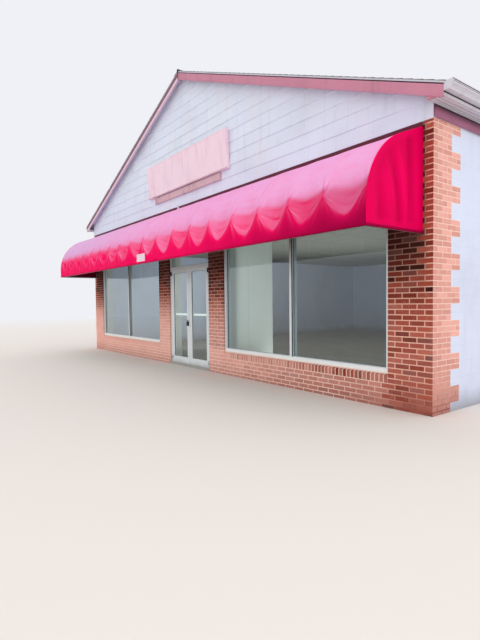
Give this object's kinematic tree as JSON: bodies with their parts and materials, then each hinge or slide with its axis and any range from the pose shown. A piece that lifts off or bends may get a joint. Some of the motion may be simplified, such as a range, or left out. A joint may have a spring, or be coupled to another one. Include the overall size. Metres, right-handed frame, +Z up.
{
  "type": "corner shop building",
  "caption": "Single-storey corner shop: brick shopfront with large display windows, a pair of swing doors, a long fabric awning, toothed brick corners, block walls and a low gable roof.",
  "frame": {"origin": "on the ground at the centre of the plan of the walls", "axes": "+Z up; -Y out of the shopfront towards the street; +X to the right seen from the street"},
  "size_m": [11.8, 13.411, 6.1925],
  "materials": {
    "brick": "fired clay brick with pinkish lime mortar",
    "wall_paint": "smooth white masonry paint on block",
    "siding": "weathered pale cement siding",
    "trim": "dusty pink painted boards",
    "white_metal": "white factory enamel",
    "steel": "galvanised tube",
    "lock": "black enamel",
    "glass": "clear float glass",
    "awning": "crimson coated awning cloth",
    "roof": "brown mineral shingles",
    "concrete": "trowelled concrete",
    "plaster": "matt emulsion on plaster",
    "panel": "bare weathered sign face"
  },
  "bodies": {
    "building": {"floor_slab": "concrete", "ceiling": "plaster", "entry_partition": "plaster", "brick_corner_right": "brick", "brick_corner_left": "brick", "brick_pier_door_right": "brick", "brick_pier_door_left": "brick", "brick_sill_wall_right": "brick", "brick_sill_wall_left": "brick", "rowlock_sills": "brick", "brick_head_band": "brick", "side_wall_right": "wall_paint", "side_wall_left": "wall_paint", "back_wall": "wall_paint", "gable_front": "siding", "gable_back": "siding", "roof_slope_right": "roof", "roof_slope_left": "roof", "ridge_cap": "roof", "frieze_boards": "trim", "eave_soffits": "white_metal", "eave_fascias": "white_metal", "gutters": "white_metal", "rake_boards_front": "trim", "rake_boards_back": "trim", "window_frame_right": "white_metal", "window_frame_left": "white_metal", "window_glass_right": "glass", "window_glass_left": "glass", "door_frame": "white_metal", "transom_glass": "glass", "door_threshold": "concrete", "door_pivots": "steel", "awning_frame": "steel", "awning_cover": "awning", "awning_panel": "panel", "sign_panel": "panel", "sign_strip": "panel"},
    "right_door": {"door_leaf_right": "white_metal", "door_glass_right": "glass", "push_bar_right": "white_metal"},
    "left_door": {"door_leaf_left": "white_metal", "door_glass_left": "glass", "push_bar_left": "white_metal", "door_lock": "lock"}
  },
  "joints": [
    {"name": "right_door_swing", "type": "hinge", "parent": "building", "child": "right_door", "pos_m": [0.7625, -6.085, 1], "axis": [0, 0, 1], "range_deg": [0, 90]},
    {"name": "left_door_swing", "type": "hinge", "parent": "building", "child": "left_door", "pos_m": [-0.7625, -6.085, 1], "axis": [0, 0, -1], "range_deg": [0, 90]}
  ]
}
